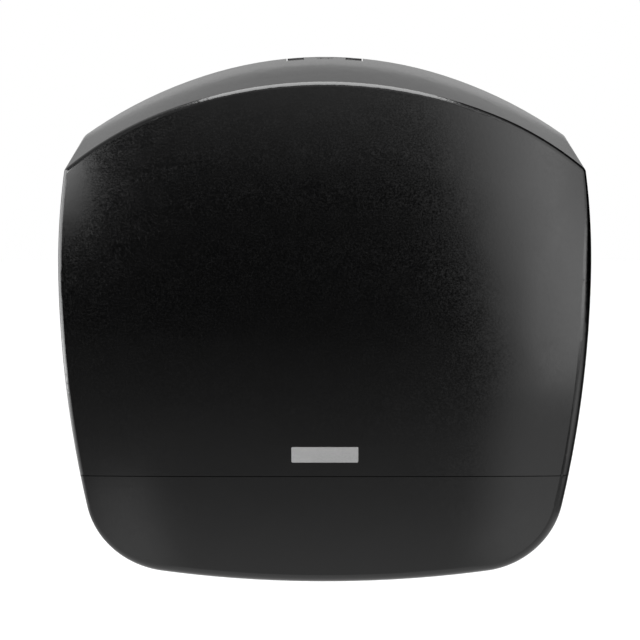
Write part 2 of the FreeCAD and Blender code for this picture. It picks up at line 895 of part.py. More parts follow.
def back_plate():
    """Moulded plate that is screwed to the wall and carries everything else."""
    inset = cover_wall + plate_clear
    plate = plate_prism(inset, -plate_thick)
    rim = plate_prism(inset, -rim_depth).cut(plate_prism(inset + rim_wall, -rim_depth - overrun))
    clear_x = housing_half_width + notch_gap
    foot_top_z = hinge_z + 2 * plate_arm_up
    rim = rim.cut(block(-clear_x, clear_x, -BIG, -plate_thick, 0, BIG))
    rim = rim.cut(block(-lug_x, lug_x, -BIG, -plate_thick, -BIG, foot_top_z))
    tab_low = top_z - latch_tab_drop
    tab = block(-housing_half_width, housing_half_width, -plate_thick, 0, tab_low, BIG)
    tab = tab.common(full_prism(button_low))
    sill = block(-sill_half_width, sill_half_width, -sill_thick, 0, -BIG, foot_top_z)
    sill = sill.common(full_prism(sill_inset))
    main_dome, main_hollow, main_bosses = dome(0, 0, dome_r, -dome_depth, main_screw_places)
    stub = dome(stub_x, stub_z, stub_boss_r, stub_seat_y, stub_screw_places)
    stub_dome, stub_hollow, stub_bosses = stub
    pads = []
    slots = []
    for place in wall_slot_places():
        pad_r = wall_slot_r + slot_pad
        pad_length = wall_slot_length + 2 * slot_pad
        pads.append(rounded_slot(place, pad_r, pad_length, -plate_thick - slot_pad_height, -root_sink))
        slots.append(rounded_slot(place, wall_slot_r, wall_slot_length, -BIG, BIG))
    solid = joined([plate, rim, tab, sill, main_dome, stub_dome] + pads + plate_ribs() + hinge_lugs())
    solid = solid.cut([main_hollow, stub_hollow])
    solid = joined([solid] + main_bosses + stub_bosses)
    cuts = slots
    cuts += [pilot(seat, Y_AXIS, spindle_screw_length) for seat in main_seats()]
    cuts += [pilot(seat, Y_AXIS, stub_screw_length) for seat in stub_seats()]
    cuts += [pilot(seat, Y_AXIS, guide_screw_length) for seat in guide_seats()]
    cuts += [pilot(seat, Y_AXIS, housing_screw_length) for seat in housing_seats()]
    pin_bore = hinge_rod(hinge_pin_r + pin_bore_gap, lug_x - lug_width - overrun, lug_x + overrun)
    return solid.cut(cuts + both_sides(pin_bore))


def hinge_pins():
    """Headed steel pins, fast in the lugs, that the cover turns on."""
    shank = hinge_rod(hinge_pin_r, lug_x - pin_grip, ear_x1 + fit_gap)
    head = hinge_rod(pin_head_r, ear_x1 + fit_gap, ear_x1 + fit_gap + pin_head_h)
    return both_sides(joined([shank, head]))


def paper_guide():
    """Rounded sill behind the paper exit, screwed to the foot of the back plate."""
    low = hinge_z + plate_arm_down
    wide = guide_half_width
    foot = block(-wide, wide, guide_seat_y, -sill_thick, low, hinge_z + plate_arm_up)
    web = block(-wide, wide, hinge_y, guide_seat_y, low, low + guide_bead_wall)
    bead = hinge_rod(guide_bead_r, -wide, wide)
    hollow = hinge_rod(guide_bead_r - guide_bead_wall, -wide - overrun, wide + overrun)
    holes = [clear_hole(seat, Y_AXIS, guide_foot_thick) for seat in guide_seats()]
    return joined([foot, web, bead]).cut([hollow] + holes)


def guide_screws():
    return [screw(seat, Y_AXIS, guide_screw_length) for seat in guide_seats()]


def main_spindle():
    """Fixed spindle with a square-set screw flange."""
    rear = V(0, -dome_depth, 0)
    flange = rod(flange_r, rear, -Y_AXIS, flange_thick)
    shaft = rod(spindle_r, rear, -Y_AXIS, -spindle_front_y - dome_depth)
    cuts = [rod(spindle_bore_r, V(0, spindle_front_y, 0), Y_AXIS, cap_plug_length + fit_gap)]
    cuts.append(rod(spindle_bore_r, rear, -Y_AXIS, spindle_core_length))
    cuts.append(pilot(V(0, spindle_front_y - cap_thick / 2, 0), Y_AXIS, cap_screw_length))
    cuts += [clear_hole(seat, Y_AXIS, flange_thick) for seat in main_seats()]
    return joined([flange, shaft]).cut(cuts)


def spindle_screws():
    return [screw(seat, Y_AXIS, spindle_screw_length) for seat in main_seats()]


def brake_spring():
    """Dished spring washer behind the hub, which keeps the roll from running on."""
    inner_r = spindle_r + fit_gap
    outer_y = -dome_depth - flange_thick
    inner_y = outer_y - brake_spring_rise
    points = [
        (inner_r, inner_y),
        (inner_r, inner_y - brake_spring_thick),
        (brake_spring_outer_r, outer_y - brake_spring_thick),
        (brake_spring_outer_r, outer_y),
    ]
    return turned_y(points, 0, 0)


def brake_ring():
    """Friction ring glued to the back of the main hub."""
    outer = rod(brake_ring_outer_r, V(0, hub_rear_y, 0), Y_AXIS, brake_ring_thick)
    return outer.cut(rod(spindle_r + 2 * fit_gap, V(0, -BIG, 0), Y_AXIS, BIG))


def core_holder(x, z, sizes):
    """Turning hub: tube on the spindle, tapered core tube, webs and a rear flange."""
    bore_r, tube_r, core_r, core_front_r, core_wall, rear_y, front_y, webs, disc_r, disc, edge_r = sizes
    length = rear_y - front_y
    rear = V(x, rear_y, z)
    towards = -Y_AXIS
    tube = rod(tube_r, rear, towards, length)
    core = Part.makeCone(core_r, core_front_r, length - core_wall, rear, towards)
    core_hollow = Part.makeCone(core_r - core_wall, core_front_r - core_wall, length, rear, towards)
    core = core.cut(core_hollow)
    spokes = []
    for i in range(webs):
        far = core_front_r - core_wall / 2
        half = hub_spoke_wall / 2
        web = block(tube_r - hub_tube_wall / 4, far, -half, half, 0, length - 2 * core_wall)
        web.rotate(V(0, 0, 0), Z_AXIS, 360.0 * i / webs)
        web.Placement = FreeCAD.Placement(rear, FreeCAD.Rotation(Z_AXIS, towards)).multiply(web.Placement)
        spokes.append(web)
    flange = rod(disc_r, rear, towards, disc)
    flange = flange.makeFillet(edge_r, [flange.Edges[0], flange.Edges[2]])
    hub = joined([tube, core, flange] + spokes)
    return hub.cut(rod(bore_r, V(x, 0, z), towards, BIG))


def main_hub():
    """Hub that the core of the large roll is pushed on to, with gripping ribs."""
    bore_r = spindle_r + hub_run_gap
    sizes = (
        bore_r,
        bore_r + hub_tube_wall,
        hub_core_r,
        hub_core_r - hub_core_taper,
        hub_core_wall,
        hub_rear_y,
        hub_front_y,
        hub_spokes,
        hub_flange_r,
        hub_flange_thick,
        hub_edge_r,
    )
    hub = core_holder(0, 0, sizes)
    grips = []
    start_y = hub_rear_y - hub_flange_thick / 2
    for place in round_places(0, 0, hub_grips, hub_core_r - hub_core_taper, 180.0 / hub_grips):
        grips.append(rod(hub_grip_r, V(place.x, start_y, place.z), -Y_AXIS, hub_grip_length))
    return joined([hub] + grips).cut(hub_inside())


def hub_inside():
    """Space between the hub's webs, which the gripping ribs stay out of."""
    length = hub_rear_y - hub_front_y
    rear = V(0, hub_rear_y - hub_flange_thick, 0)
    near = hub_core_r - hub_core_taper - hub_core_wall
    ring = rod(near, rear, -Y_AXIS, length).cut(rod(near - hub_grip_r, rear, -Y_AXIS, length))
    return ring.cut(hub_web_bars())


def hub_web_bars():
    bars = []
    for i in range(hub_spokes):
        bar = block(0, hub_core_r, -BIG / 2, 0, -hub_spoke_wall / 2, hub_spoke_wall / 2)
        bar.rotate(V(0, 0, 0), Y_AXIS, -360.0 * i / hub_spokes)
        bars.append(bar)
    return bars


def hub_cap():
    """Cap that keeps the hub on the spindle, with a plug and a sunk screw seat."""
    front = V(0, spindle_front_y, 0)
    disc = rod(cap_r, front, -Y_AXIS, cap_thick)
    disc = disc.makeFillet(cap_edge_r, [disc.Edges[0]])
    plug = rod(spindle_bore_r - hub_run_gap, front, Y_AXIS, cap_plug_length)
    seat = rod(screw_head_r + fit_gap, V(0, spindle_front_y - cap_thick / 2, 0), -Y_AXIS, cap_thick)
    hole = rod(screw_r + screw_clear, V(0, spindle_front_y - cap_thick, 0), Y_AXIS, 2 * cap_plug_length)
    return joined([disc, plug]).cut([seat, hole])


def hub_cap_screw():
    return screw(V(0, spindle_front_y - cap_thick / 2, 0), Y_AXIS, cap_screw_length)


def stub_spindle():
    """Short fixed spindle for what is left of a used roll."""
    rear = V(stub_x, stub_seat_y, stub_z)
    flange = rod(stub_flange_r, rear, -Y_AXIS, stub_flange_thick)
    shaft = rod(stub_spindle_r, rear, -Y_AXIS, stub_seat_y - stub_front_y)
    cuts = [pilot(V(stub_x, stub_front_y - stub_cap_thick / 2, stub_z), Y_AXIS, stub_cap_screw_length)]
    cuts += [clear_hole(seat, Y_AXIS, stub_flange_thick) for seat in stub_seats()]
    return joined([flange, shaft]).cut(cuts)


def stub_screws():
    return [screw(seat, Y_AXIS, stub_screw_length) for seat in stub_seats()]


def stub_hub():
    """Turning hub of the stub-roll holder."""
    bore_r = stub_spindle_r + hub_run_gap
    sizes = (
        bore_r,
        bore_r + hub_tube_wall,
        stub_core_r,
        stub_core_r - stub_core_taper,
        stub_core_wall,
        stub_hub_rear_y,
        stub_front_y + hub_end_play,
        stub_spokes,
        stub_flare_r,
        stub_flare_thick,
        stub_edge_r,
    )
    return core_holder(stub_x, stub_z, sizes)


def stub_cap():
    """Washer cap at the end of the stub spindle."""
    front = V(stub_x, stub_front_y, stub_z)
    disc = rod(stub_cap_r, front, -Y_AXIS, stub_cap_thick)
    disc = disc.makeFillet(stub_cap_edge_r, [disc.Edges[0]])
    seat_at = V(stub_x, stub_front_y - stub_cap_thick / 2, stub_z)
    seat = rod(screw_head_r + fit_gap, seat_at, -Y_AXIS, stub_cap_thick)
    return disc.cut([seat, clear_hole(seat_at, Y_AXIS, stub_cap_thick)])


def stub_cap_screw():
    return screw(V(stub_x, stub_front_y - stub_cap_thick / 2, stub_z), Y_AXIS, stub_cap_screw_length)


def housing_seats():
    y = housing_back_y - housing_wall
    z = housing_floor_z + housing_screw_rise
    return [V(sign * housing_screw_x, y, z) for sign in (-1, 1)]


def tongue_seats():
    y = tongue_root_y - tongue_thick
    z = tongue_top_z - tongue_screw_drop
    return [V(sign * tongue_screw_dx, y, z) for sign in (-1, 1)]


def latch_housing():
    """Bracket on the back plate that guides the release button."""
    half = housing_half_width
    inner_y = housing_back_y - housing_wall
    back = block(-half, half, inner_y, housing_back_y, housing_floor_z, BIG)
    floor_top = housing_floor_z + housing_wall
    floor = block(-half, half, housing_front_y, housing_back_y, housing_floor_z, floor_top)
    near = half - housing_wall
    cheek = block(near, half, housing_front_y, housing_back_y, housing_floor_z, BIG)
    inner_x = button_half_width + button_gap
    shoulder = block(inner_x, half, button_front_y, housing_back_y, shoulder_low_z, BIG)
    rough = joined([back, floor] + both_sides(cheek) + both_sides(shoulder))
    in_notch = block(-BIG, BIG, button_front_y, BIG, -BIG, BIG)
    exposed = full_prism(housing_low).common(in_notch)
    covered = full_prism(cover_wall + housing_clear).cut(in_notch)
    way_low_z = button_low_z - button_travel - button_gap
    way = block(-inner_x, inner_x, -BIG, BIG, way_low_z, BIG)
    shaped = rough.common(exposed.fuse(covered)).cut(way)
    holes = [clear_hole(seat, Y_AXIS, housing_wall) for seat in housing_seats()]
    holes += [pilot(seat, Y_AXIS, tongue_screw_length) for seat in tongue_seats()]
    return shaped.cut(holes)


def housing_screws():
    return [screw(seat, Y_AXIS, housing_screw_length) for seat in housing_seats()]


def latch_tongue():
    """Springy strip whose barb stands up through the slot of the strike plate."""
    low = tongue_top_z - tongue_thick
    tongue_foot_z = tongue_top_z - tongue_foot_length
    points = [
        (tongue_root_y, tongue_foot_z),
        (tongue_root_y, tongue_top_z),
        (barb_back_y, tongue_top_z),
        (barb_back_y, barb_top_z),
        (barb_back_y - tongue_thick, barb_top_z),
        (tongue_front_y, tongue_top_z + tongue_thick),
        (tongue_front_y, low),
        (tongue_root_y - tongue_thick, low),
        (tongue_root_y - tongue_thick, tongue_foot_z),
    ]
    strip = bar_x(points, -tongue_half_width, tongue_half_width)
    return strip.cut([clear_hole(seat, Y_AXIS, tongue_thick) for seat in tongue_seats()])


def tongue_screws():
    return [screw(seat, Y_AXIS, tongue_screw_length) for seat in tongue_seats()]


def insert_pocket(gap, low):
    """Space of the key insert in the top of the button."""
    mid_y = (button_front_y + button_rear_y) / 2
    half_y = insert_depth / 2 + gap
    half_x = insert_half_width + gap
    floor_z = top_at(0, mid_y, button_low) - insert_thick
    slab = block(-half_x, half_x, mid_y - half_y, mid_y + half_y, floor_z, BIG)
    return slab.common(full_prism(low))


def release_button():
    """Press button in the top edge, whose leg pushes the latch tongue down."""
    half = button_half_width
    under_z = tongue_top_z + button_foot_gap
    cap = block(-half, half, button_front_y, button_rear_y, button_low_z, BIG)
    cap = cap.common(full_prism(button_low))
    flange_y1 = housing_back_y - housing_wall - button_gap
    flange_x = half + button_flange
    flange_top_z = shoulder_low_z - button_gap
    flange = block(-flange_x, flange_x, button_front_y, flange_y1, button_low_z, flange_top_z)
    leg_y1 = spring_y + spring_wire_r
    leg_x = button_leg_half_width
    leg = block(-leg_x, leg_x, button_front_y, leg_y1, under_z, shoulder_low_z)
    cuts = [insert_pocket(badge_gap, -overrun)]
    for sign in (-1, 1):
        foot = V(sign * spring_x, spring_y, button_low_z - overrun)
        cuts.append(rod(spring_r + fit_gap, foot, Z_AXIS, spring_top_z + fit_gap - foot.z))
    return joined([cap, flange, leg]).cut(cuts)


def key_insert():
    """Slotted insert in the button that takes a two-pronged key."""
    solid = insert_pocket(0.0, button_low)
    mid_y = (button_front_y + button_rear_y) / 2
    quarter = insert_depth / 4
    half = insert_slit / 2
    cuts = []
    for sign in (-1, 1):
        x = sign * insert_half_width / 2
        cuts.append(block(x - half, x + half, mid_y - quarter, mid_y + quarter, 0, BIG))
    return solid.cut(cuts)


def coil_spring(x, y, z0, z1, radius, wire_r, turns):
    """Helical wire between two heights."""
    height = z1 - z0 - 2 * wire_r
    helix = Part.makeHelix(height / turns, height, radius - wire_r)
    start = helix.Vertexes[0].Point
    ring = Part.Wire(Part.makeCircle(wire_r, start, Y_AXIS))
    wire = Part.Wire(helix).makePipeShell([ring], True, True)
    wire.translate(V(x, y, z0 + wire_r))
    return wire


def button_springs():
    """Two small coil springs that push the button back up."""
    low_z = housing_floor_z + housing_wall
    wire = (spring_r, spring_wire_r, spring_turns)
    return [coil_spring(sign * spring_x, spring_y, low_z, spring_top_z, *wire) for sign in (-1, 1)]


PIECES = {
    "front_cover": front_cover,
    "chin_panel": chin_panel,
    "name_plate": name_plate,
    "strike_plate": strike_plate,
    "back_plate": back_plate,
    "paper_guide": paper_guide,
    "main_spindle": main_spindle,
    "main_hub": main_hub,
    "brake_spring": brake_spring,
    "brake_ring": brake_ring,
    "hub_cap": hub_cap,
    "hub_cap_screw": hub_cap_screw,
    "stub_spindle": stub_spindle,
    "stub_hub": stub_hub,
    "stub_cap": stub_cap,
    "stub_cap_screw": stub_cap_screw,
    "latch_housing": latch_housing,
    "latch_tongue": latch_tongue,
    "release_button": release_button,
    "key_insert": key_insert,
    "tear_bar_right": tear_bar,
    "tear_bar_left": lambda: tear_bar().mirror(V(0, 0, 0), X_AXIS),
    "cover_screws": lambda: grouped(join_screws()),
    "tear_bar_screws": lambda: grouped(tear_screws()),
    "strike_screws": lambda: grouped(strike_screws()),
    "hinge_pins": lambda: grouped(hinge_pins()),
    "guide_screws": lambda: grouped(guide_screws()),
    "spindle_screws": lambda: grouped(spindle_screws()),
    "stub_spindle_screws": lambda: grouped(stub_screws()),
    "housing_screws": lambda: grouped(housing_screws()),
    "tongue_screws": lambda: grouped(tongue_screws()),
    "button_springs": lambda: grouped(button_springs()),
}

os.makedirs("parts", exist_ok=True)
for name, make in PIECES.items():
    piece = make()
    piece.exportStep("parts/" + name + ".step")
    print(name, len(piece.Solids), "solids", round(piece.Volume, 1), "mm3", piece.isValid())
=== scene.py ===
import math

import bpy
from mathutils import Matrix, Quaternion, Vector

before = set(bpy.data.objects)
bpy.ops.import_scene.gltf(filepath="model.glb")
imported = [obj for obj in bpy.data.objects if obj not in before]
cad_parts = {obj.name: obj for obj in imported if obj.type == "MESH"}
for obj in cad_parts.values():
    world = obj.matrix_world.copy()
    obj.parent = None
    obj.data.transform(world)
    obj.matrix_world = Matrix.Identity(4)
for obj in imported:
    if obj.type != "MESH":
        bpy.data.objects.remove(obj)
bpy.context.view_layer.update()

# Back plate: one large moulding in black plastic that is screwed to the wall, with a rim,
# ribs, level slots for the wall screws and seats for the two spindles. The hidden mouldings
# share its plain satin finish, a little duller than the cover.
INNER_BLACK = (0.0065, 0.0065, 0.007)
PLASTIC_IOR = 1.5
NOISE_LOW = 0.3
NOISE_HIGH = 0.7
CLOUD_SIZE = 0.045
CLOUD_SHARE = 0.3
PATCH_SIZE = 0.012
COARSE_TO_FINE = 2.6
COARSE_SHARE = 0.6


def node_tree(name, finish):
    """New material with one surface shader, and the tools to wire it."""
    material = bpy.data.materials.new(name)
    material.use_nodes = True
    nodes = material.node_tree.nodes
    shader = nodes["Principled BSDF"]
    for socket, value in finish.items():
        shader.inputs[socket].default_value = value
    return material, nodes, material.node_tree.links, shader


def texture_place(nodes, links, scale=(1.0, 1.0, 1.0)):
    """Place on the piece, in metres, scaled along its axes."""
    place = nodes.new("ShaderNodeTexCoord")
    mapping = nodes.new("ShaderNodeMapping")
    mapping.inputs["Scale"].default_value = scale
    links.new(place.outputs["Object"], mapping.inputs["Vector"])
    return mapping.outputs["Vector"]


def noise(nodes, links, place, size, detail=2.0, rough=0.5):
    """Noise whose lumps are about the stated size, in metres."""
    texture = nodes.new("ShaderNodeTexNoise")
    texture.inputs["Scale"].default_value = 1.0 / size
    texture.inputs["Detail"].default_value = detail
    texture.inputs["Roughness"].default_value = rough
    links.new(place, texture.inputs["Vector"])
    return texture.outputs["Fac"]


def spread(nodes, links, value, low, high, start=NOISE_LOW, end=NOISE_HIGH):
    """A texture's value, spread between two numbers."""
    ramp = nodes.new("ShaderNodeMapRange")
    ramp.inputs["From Min"].default_value = start
    ramp.inputs["From Max"].default_value = end
    ramp.inputs["To Min"].default_value = low
    ramp.inputs["To Max"].default_value = high
    links.new(value, ramp.inputs["Value"])
    return ramp.outputs["Result"]


def tint(nodes, links, value, colour, darker, lighter, start=NOISE_LOW, end=NOISE_HIGH):
    """A colour that goes from a darker to a lighter shade of itself with a texture."""
    ramp = nodes.new("ShaderNodeValToRGB")
    dark_stop, light_stop = ramp.color_ramp.elements
    dark_stop.position = start
    light_stop.position = end
    dark_stop.color = tuple(c * darker for c in colour) + (1.0,)
    light_stop.color = tuple(c * lighter for c in colour) + (1.0,)
    links.new(value, ramp.inputs["Fac"])
    return ramp.outputs["Color"]


def add_share(nodes, links, first, second, share):
    """Sum of two values, the second one weighted."""
    total = nodes.new("ShaderNodeMath")
    total.operation = "MULTIPLY_ADD"
    links.new(second, total.inputs[0])
    total.inputs[1].default_value = share
    links.new(first, total.inputs[2])
    return total.outputs["Value"]


def bump(nodes, links, shader, height, depth):
    """Relief of the surface, with its depth in metres."""
    relief = nodes.new("ShaderNodeBump")
    relief.inputs["Distance"].default_value = depth
    relief.inputs["Strength"].default_value = 1.0
    links.new(height, relief.inputs["Height"])
    links.new(relief.outputs["Normal"], shader.inputs["Normal"])


def moulded(name, colour, roughness, grain, depth, uneven=0.06, fleck=0.0):
    """Moulded plastic with the fine grain of a spark-eroded mould, some of it duller."""
    material, nodes, links, shader = node_tree(name, {"IOR": PLASTIC_IOR})
    place = texture_place(nodes, links)
    fine = noise(nodes, links, place, grain, detail=2.0, rough=0.6)
    cloud = noise(nodes, links, place, CLOUD_SIZE, detail=3.0)
    mottle = add_share(nodes, links, fine, cloud, CLOUD_SHARE)
    shade = tint(nodes, links, mottle, colour, darker=0.8, lighter=1.2, start=0.4, end=0.9)
    links.new(shade, shader.inputs["Base Color"])
    patch = noise(nodes, links, place, PATCH_SIZE, detail=4.0)
    rough = spread(nodes, links, patch, roughness - uneven / 2, roughness + uneven / 2)
    flecks = spread(nodes, links, fine, -fleck, fleck)
    links.new(add_share(nodes, links, rough, flecks, share=1.0), shader.inputs["Roughness"])
    coarse = noise(nodes, links, place, grain * COARSE_TO_FINE, detail=1.0)
    bump(nodes, links, shader, add_share(nodes, links, fine, coarse, COARSE_SHARE), depth)
    return material


def dress(material, *names):
    """Give a finish to nodes of the frame."""
    for name in names:
        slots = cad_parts[name].data.materials
        slots.clear()
        slots.append(material)


inner_plastic = moulded(
    "satin_black_plastic", INNER_BLACK, roughness=0.42, grain=0.0005, depth=0.00003
)
dress(inner_plastic, "back_plate", "latch_housing", "paper_guide")

# Spindles and their caps: black mouldings, smooth where the hubs run on them. The spindles
# are screwed to the seats of the plate, and a cap is screwed to the end of each.
spindle_plastic = moulded(
    "smooth_black_plastic", INNER_BLACK, roughness=0.3, grain=0.0006, depth=0.00001
)
dress(spindle_plastic, "main_spindle", "stub_spindle", "hub_cap", "stub_cap")

# Hubs: two grey mouldings in a slippery plastic, kept on their spindles by the caps. The
# rolls are pushed on to them and turn with them.
HUB_GREY = (0.15, 0.152, 0.158)
hub_plastic = moulded(
    "grey_slippery_plastic", HUB_GREY, roughness=0.36, grain=0.0007, depth=0.00002
)
dress(hub_plastic, "main_hub", "stub_hub")

# Brake ring: a flat ring of dense grey felt, glued to the back of the large hub. With the
# spring washer behind it, it keeps the roll from running on.
FELT_GREY = (0.09, 0.09, 0.092)
FELT_FINISH = {"Roughness": 0.95, "Sheen Weight": 0.4, "Sheen Roughness": 0.5}
FIBRE_SIZE = 0.0009
FIBRE_DEPTH = 0.0002


def felt(name, colour):
    """Pressed felt, mottled by its fibres."""
    material, nodes, links, shader = node_tree(name, FELT_FINISH)
    place = texture_place(nodes, links)
    fibre = noise(nodes, links, place, FIBRE_SIZE, detail=5.0, rough=0.7)
    shade = tint(nodes, links, fibre, colour, darker=0.6, lighter=1.5)
    links.new(shade, shader.inputs["Base Color"])
    bump(nodes, links, shader, fibre, FIBRE_DEPTH)
    return material


dress(felt("dense_grey_felt", FELT_GREY), "brake_ring")

# Springs, tongue, strike plate and hinge pins: rolled strip and drawn wire in steel, with
# fine lines from the rolls and the die. The tongue and the strike plate are screwed on, the
# springs sit in their seats, and the pins are fast in the lugs of the plate.
SPRING_STEEL = (0.36, 0.36, 0.37)
PIN_STEEL = (0.5, 0.5, 0.51)
LINE_SIZE = 0.0004
LINE_DEPTH = 0.000006
GLOSSIEST_LINE = 0.06
DULLEST_LINE = 0.08


def drawn_metal(name, colour, roughness, scale):
    """Metal whose fine marks are drawn out along the axes of small scale."""
    material, nodes, links, shader = node_tree(name, {"Metallic": 1.0})
    place = texture_place(nodes, links, scale)
    lines = noise(nodes, links, place, LINE_SIZE, detail=3.0, rough=0.6)
    shade = tint(nodes, links, lines, colour, darker=0.8, lighter=1.15)
    links.new(shade, shader.inputs["Base Color"])
    rough = spread(
        nodes, links, lines, low=roughness - GLOSSIEST_LINE, high=roughness + DULLEST_LINE
    )
    links.new(rough, shader.inputs["Roughness"])
    bump(nodes, links, shader, lines, LINE_DEPTH)
    return material


strip_steel = drawn_metal(
    "spring_steel_strip", SPRING_STEEL, roughness=0.32, scale=(1.0, 0.05, 0.05)
)
wire_steel = drawn_metal(
    "spring_steel_wire", SPRING_STEEL, roughness=0.25, scale=(1.0, 1.0, 1.0)
)
bright_steel = drawn_metal(
    "bright_pin_steel", PIN_STEEL, roughness=0.22, scale=(0.04, 1.0, 1.0)
)
dress(strip_steel, "latch_tongue", "strike_plate")
dress(wire_steel, "brake_spring", "button_springs")
dress(bright_steel, "hinge_pins")

# Tear bars: folded strips of stainless steel with a row of sharp teeth and rolled lines along
# their length. One is screwed to the chin panel at each end of the paper exit.
STAINLESS = (0.52, 0.52, 0.51)
rolled_steel = drawn_metal(
    "rolled_stainless", STAINLESS, roughness=0.28, scale=(1.0, 0.03, 1.0)
)
dress(rolled_steel, "tear_bar_left", "tear_bar_right")

# Screws: steel with a zinc plating, brighter and duller by small patches. They hold the
# spindles, caps, latch, strike plate, guide and tear bars, and join the two halves of the cover.
ZINC = (0.55, 0.56, 0.58)
SPANGLE_SIZE = 0.0012
SPANGLE_DEPTH = 0.00001


def zinc_plate(name, colour):
    """Plated steel, brighter and duller by patches."""
    material, nodes, links, shader = node_tree(name, {"Metallic": 1.0})
    place = texture_place(nodes, links)
    spangle = noise(nodes, links, place, SPANGLE_SIZE, detail=3.0)
    shade = tint(nodes, links, spangle, colour, darker=0.75, lighter=1.2)
    links.new(shade, shader.inputs["Base Color"])
    rough = spread(nodes, links, spangle, low=0.24, high=0.4)
    links.new(rough, shader.inputs["Roughness"])
    bump(nodes, links, shader, spangle, SPANGLE_DEPTH)
    return material


dress(
    zinc_plate("zinc_plated_steel", ZINC),
    "hub_cap_screw",
    "stub_cap_screw",
    "cover_screws",
    "tear_bar_screws",
    "strike_screws",
    "guide_screws",
    "spindle_screws",
    "stub_spindle_screws",
    "housing_screws",
    "tongue_screws",
)

# Cover: two black mouldings, the upper one with the front, top and sides, the lower one with
# the chin and the bottom, joined by screws from inside. Their semi-gloss face has the fine
# grain of the mould, and the release button matches it.
COVER_BLACK = (0.0019, 0.0019, 0.002)
cover_plastic = moulded(
    "grained_black_plastic",
    COVER_BLACK,
    roughness=0.13,
    grain=0.001,
    depth=0.000006,
    uneven=0.02,
    fleck=0.055,
)
dress(cover_plastic, "front_cover", "chin_panel", "release_button")

# Key insert: a small insert in the button with two slits for a key, moulded in a dark
# plastic that is duller than the button's.
INSERT_BLACK = (0.015, 0.015, 0.016)
insert_plastic = moulded(
    "dark_insert_plastic", INSERT_BLACK, roughness=0.35, grain=0.0004, depth=0.00001
)
dress(insert_plastic, "key_insert")

# Badge: a thin light-grey plate on the front, with a blank satin face. Two pegs at its back
# hold it in the cover.
BADGE_GREY = (0.4, 0.4, 0.4)
badge_plastic = moulded(
    "satin_grey_badge", BADGE_GREY, roughness=0.38, grain=0.0005, depth=0.00001
)
dress(badge_plastic, "name_plate")

# Floor: a plain pale sheet below the dispenser, white to the camera but for the shadow. In
# the gloss of the cover it shows a painted glow: painted light brightest below the dispenser
# and painted shade towards the front, the rear and the right. The list gives the grey of this
# painted glow at places from front to rear.
FLOOR_Z = -0.42
FLOOR_HALF = 1.6
FLOOR_FRONT = -1.9
FLOOR_REAR = 2.2
FLOOR_GREY = 0.3
FLOOR_WHITE = 0.84
RIGHT_SHADE = 0.1
SHADE_FROM = 0.5
SHADE_TO = 0.7
NEW_RAMP_STOPS = 2
# Grey of the floor's painted glow, seen only in the gloss, at places from front to rear.
PAINTED_FLOOR_GLOW = (
    (-1.9, 0.07),
    (-1.37, 0.17),
    (-0.9, 0.42),
    (-0.7, 0.68),
    (-0.35, 1.2),
    (-0.1, 1.3),
    (0.3, 0.5),
)
floor_corners = (
    (-FLOOR_HALF, FLOOR_FRONT, FLOOR_Z),
    (FLOOR_HALF, FLOOR_FRONT, FLOOR_Z),
    (FLOOR_HALF, FLOOR_REAR, FLOOR_Z),
    (-FLOOR_HALF, FLOOR_REAR, FLOOR_Z),
)
floor_mesh = bpy.data.meshes.new("floor")
floor_mesh.from_pydata(floor_corners, [], [(0, 1, 2, 3)])
floor = bpy.data.objects.new("floor", floor_mesh)
bpy.context.scene.collection.objects.link(floor)
floor_finish = {"Roughness": 0.9, "Base Color": (FLOOR_GREY, FLOOR_GREY, FLOOR_GREY, 1.0)}
floor_paint, nodes, links, shader = node_tree("pale_floor", floor_finish)
place = nodes.new("ShaderNodeTexCoord")
split = nodes.new("ShaderNodeSeparateXYZ")
links.new(place.outputs["Object"], split.inputs["Vector"])
along = spread(
    nodes, links, split.outputs["Y"], low=0.0, high=1.0, start=FLOOR_FRONT, end=FLOOR_REAR
)
shade = nodes.new("ShaderNodeValToRGB")
stops = shade.color_ramp.elements
for number, (y, grey) in enumerate(PAINTED_FLOOR_GLOW):
    stop = stops[number] if number < NEW_RAMP_STOPS else stops.new(1.0)
    stop.position = (y - FLOOR_FRONT) / (FLOOR_REAR - FLOOR_FRONT)
    stop.color = (grey, grey, grey, 1.0)
links.new(along, shade.inputs["Fac"])
# The floor's painted glow and painted shade, given off only to glossy rays.
painted_floor_glow = nodes.new("ShaderNodeEmission")
links.new(shade.outputs["Color"], painted_floor_glow.inputs["Color"])
# Painted shade: the floor's glow dims towards the right.
across = spread(
    nodes, links, split.outputs["X"], low=1.0, high=RIGHT_SHADE, start=SHADE_FROM, end=SHADE_TO
)
links.new(across, painted_floor_glow.inputs["Strength"])
white = nodes.new("ShaderNodeEmission")
white.inputs["Strength"].default_value = FLOOR_WHITE
lit_white = nodes.new("ShaderNodeAddShader")
links.new(shader.outputs["BSDF"], lit_white.inputs[0])
links.new(white.outputs["Emission"], lit_white.inputs[1])
floor_path = nodes.new("ShaderNodeLightPath")
for_camera = nodes.new("ShaderNodeMixShader")
for_mirrors = nodes.new("ShaderNodeMixShader")
links.new(floor_path.outputs["Is Camera Ray"], for_camera.inputs["Fac"])
links.new(shader.outputs["BSDF"], for_camera.inputs[1])
links.new(lit_white.outputs["Shader"], for_camera.inputs[2])
links.new(floor_path.outputs["Is Glossy Ray"], for_mirrors.inputs["Fac"])
links.new(for_camera.outputs["Shader"], for_mirrors.inputs[1])
links.new(painted_floor_glow.outputs["Emission"], for_mirrors.inputs[2])
links.new(for_mirrors.outputs["Shader"], nodes["Material Output"].inputs["Surface"])
floor_mesh.materials.append(floor_paint)

# Light from above: two soft boxes, over the dispenser and behind it. The top and the upper
# front edge mirror them.
UP = (0.0, 0.0, 1.0)
DOWN = (0.0, 0.0, -1.0)
HALF_WIDTH = 0.5
LEAST_FADE = 0.001
SHAPE_FILL = {"RECTANGLE": 1.0, "ELLIPSE": math.pi / 4.0}


